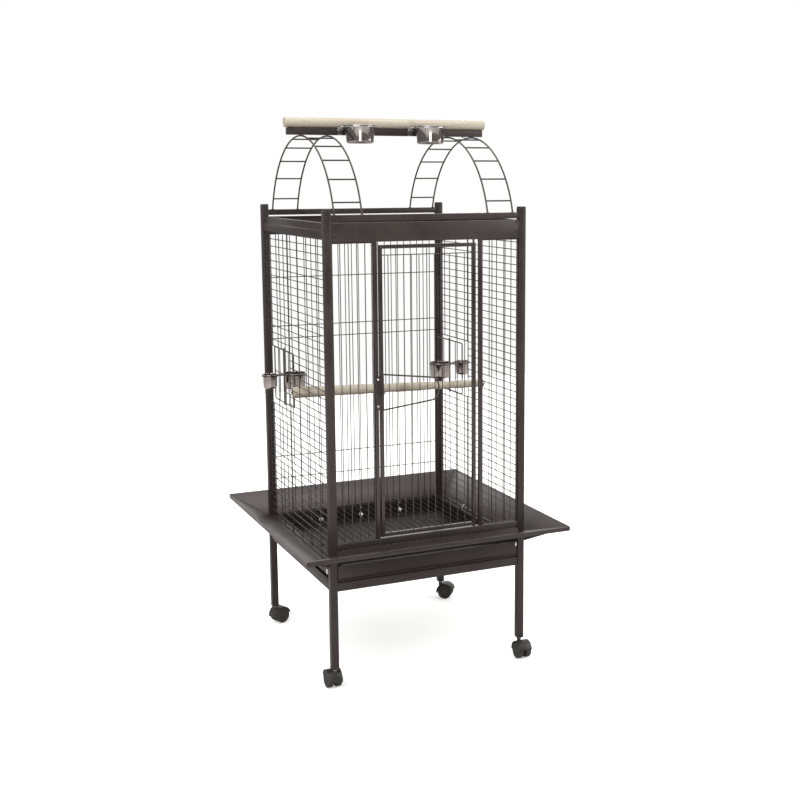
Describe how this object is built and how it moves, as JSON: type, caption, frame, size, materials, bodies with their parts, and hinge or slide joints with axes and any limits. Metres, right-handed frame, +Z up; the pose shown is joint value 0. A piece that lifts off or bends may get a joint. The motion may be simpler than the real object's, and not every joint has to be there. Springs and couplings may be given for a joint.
{
  "type": "aviary",
  "caption": "Play-top parrot aviary on swivel castors, with a hinged door, turning feeders, ladder arches under a top perch, and a slide-out grate and tray",
  "frame": {"origin": "on the floor under the middle of the cage", "axes": "+X to the right seen from the door, -Y out through the door, +Z up"},
  "size_m": [0.81, 0.81, 1.6066],
  "materials": {
    "charcoal_coat": "semi-gloss hammered powder coat",
    "polished_steel": "polished",
    "pale_wood": "bare, sanded",
    "black_plastic": "moulded"
  },
  "bodies": {
    "cage": {"front_left_post": "charcoal_coat", "front_right_post": "charcoal_coat", "back_left_post": "charcoal_coat", "back_right_post": "charcoal_coat", "front_header": "charcoal_coat", "back_header": "charcoal_coat", "left_header": "charcoal_coat", "right_header": "charcoal_coat", "front_top_rail": "charcoal_coat", "back_top_rail": "charcoal_coat", "front_bottom_rail": "charcoal_coat", "back_bottom_rail": "charcoal_coat", "left_bottom_rail": "charcoal_coat", "right_bottom_rail": "charcoal_coat", "front_stand_rail": "charcoal_coat", "back_stand_rail": "charcoal_coat", "left_stand_rail": "charcoal_coat", "right_stand_rail": "charcoal_coat", "left_grille_front": "charcoal_coat", "left_grille_lower": "charcoal_coat", "left_grille_upper": "charcoal_coat", "right_grille_front": "charcoal_coat", "right_grille_lower": "charcoal_coat", "right_grille_upper": "charcoal_coat", "back_grille": "charcoal_coat", "top_grille": "charcoal_coat", "front_left_panel": "charcoal_coat", "front_right_panel": "charcoal_coat", "front_skirt": "charcoal_coat", "back_skirt": "charcoal_coat", "left_skirt": "charcoal_coat", "right_skirt": "charcoal_coat", "left_ladder": "charcoal_coat", "right_ladder": "charcoal_coat", "perch_beam": "charcoal_coat", "top_perch": "pale_wood", "inside_perch": "pale_wood", "left_top_cup_holder": "polished_steel", "right_top_cup_holder": "polished_steel"},
    "door": {"front_door": "charcoal_coat", "latch_plate": "charcoal_coat"},
    "latch": {"latch_knob": "black_plastic"},
    "tray": {"tray": "charcoal_coat"},
    "grate": {"floor_grate": "charcoal_coat"},
    "left_top_cup": {"left_top_cup": "polished_steel"},
    "right_top_cup": {"right_top_cup": "polished_steel"},
    "left_feeder": {"left_feeder": "charcoal_coat"},
    "left_cup_inside": {"left_cup_inside": "polished_steel"},
    "left_cup_outside": {"left_cup_outside": "polished_steel"},
    "right_feeder": {"right_feeder": "charcoal_coat"},
    "right_cup_inside": {"right_cup_inside": "polished_steel"},
    "right_cup_outside": {"right_cup_outside": "polished_steel"},
    "front_left_castor_swivel": {"front_left_castor_hood": "black_plastic"},
    "front_left_castor_wheels": {"front_left_castor_wheels": "black_plastic"},
    "front_right_castor_swivel": {"front_right_castor_hood": "black_plastic"},
    "front_right_castor_wheels": {"front_right_castor_wheels": "black_plastic"},
    "back_left_castor_swivel": {"back_left_castor_hood": "black_plastic"},
    "back_left_castor_wheels": {"back_left_castor_wheels": "black_plastic"},
    "back_right_castor_swivel": {"back_right_castor_hood": "black_plastic"},
    "back_right_castor_wheels": {"back_right_castor_wheels": "black_plastic"}
  },
  "joints": [
    {"name": "door_hinge", "type": "hinge", "parent": "cage", "child": "door", "pos_m": [0.14125, -0.29695, 0.84], "axis": [0, 0, 1], "range_deg": [0, 110]},
    {"name": "latch_turn", "type": "hinge", "parent": "door", "child": "latch", "pos_m": [-0.14325, -0.29695, 0.844], "axis": [0, -1, 0], "range_deg": [0, 90]},
    {"name": "tray_slide", "type": "slide", "parent": "cage", "child": "tray", "axis": [0, -1, 0], "range_m": [0, 0.45]},
    {"name": "grate_slide", "type": "slide", "parent": "cage", "child": "grate", "axis": [0, -1, 0], "range_m": [0, 0.45]},
    {"name": "left_top_cup_lift", "type": "slide", "parent": "cage", "child": "left_top_cup", "axis": [0, 0, 1], "range_m": [0, 0.08]},
    {"name": "right_top_cup_lift", "type": "slide", "parent": "cage", "child": "right_top_cup", "axis": [0, 0, 1], "range_m": [0, 0.08]},
    {"name": "left_feeder_turn", "type": "hinge", "parent": "cage", "child": "left_feeder", "pos_m": [-0.29435, 0.17585, 0.82], "axis": [0, 0, 1], "range_deg": [0, 180]},
    {"name": "left_cup_inside_lift", "type": "slide", "parent": "left_feeder", "child": "left_cup_inside", "axis": [0, 0, 1], "range_m": [0, 0.05]},
    {"name": "left_cup_outside_lift", "type": "slide", "parent": "left_feeder", "child": "left_cup_outside", "axis": [0, 0, 1], "range_m": [0, 0.05]},
    {"name": "right_feeder_turn", "type": "hinge", "parent": "cage", "child": "right_feeder", "pos_m": [0.29435, 0.17585, 0.82], "axis": [0, 0, 1], "range_deg": [0, 180]},
    {"name": "right_cup_inside_lift", "type": "slide", "parent": "right_feeder", "child": "right_cup_inside", "axis": [0, 0, 1], "range_m": [0, 0.05]},
    {"name": "right_cup_outside_lift", "type": "slide", "parent": "right_feeder", "child": "right_cup_outside", "axis": [0, 0, 1], "range_m": [0, 0.05]},
    {"name": "front_left_castor_swivel", "type": "hinge", "parent": "cage", "child": "front_left_castor_swivel", "pos_m": [-0.29435, -0.29435, 0.058], "axis": [0, 0, 1], "continuous": true},
    {"name": "front_left_castor_spin", "type": "hinge", "parent": "front_left_castor_swivel", "child": "front_left_castor_wheels", "pos_m": [-0.29435, -0.27535, 0.024], "axis": [-1, 0, 0], "continuous": true},
    {"name": "front_right_castor_swivel", "type": "hinge", "parent": "cage", "child": "front_right_castor_swivel", "pos_m": [0.29435, -0.29435, 0.058], "axis": [0, 0, 1], "continuous": true},
    {"name": "front_right_castor_spin", "type": "hinge", "parent": "front_right_castor_swivel", "child": "front_right_castor_wheels", "pos_m": [0.29435, -0.31335, 0.024], "axis": [1, 0, 0], "continuous": true},
    {"name": "back_left_castor_swivel", "type": "hinge", "parent": "cage", "child": "back_left_castor_swivel", "pos_m": [-0.29435, 0.29435, 0.058], "axis": [0, 0, 1], "continuous": true},
    {"name": "back_left_castor_spin", "type": "hinge", "parent": "back_left_castor_swivel", "child": "back_left_castor_wheels", "pos_m": [-0.27673, 0.30147, 0.024], "axis": [-0.3746, 0.9272, 0], "continuous": true},
    {"name": "back_right_castor_swivel", "type": "hinge", "parent": "cage", "child": "back_right_castor_swivel", "pos_m": [0.29435, 0.29435, 0.058], "axis": [0, 0, 1], "continuous": true},
    {"name": "back_right_castor_spin", "type": "hinge", "parent": "back_right_castor_swivel", "child": "back_right_castor_wheels", "pos_m": [0.30932, 0.28265, 0.024], "axis": [0.6157, 0.788, 0], "continuous": true}
  ]
}
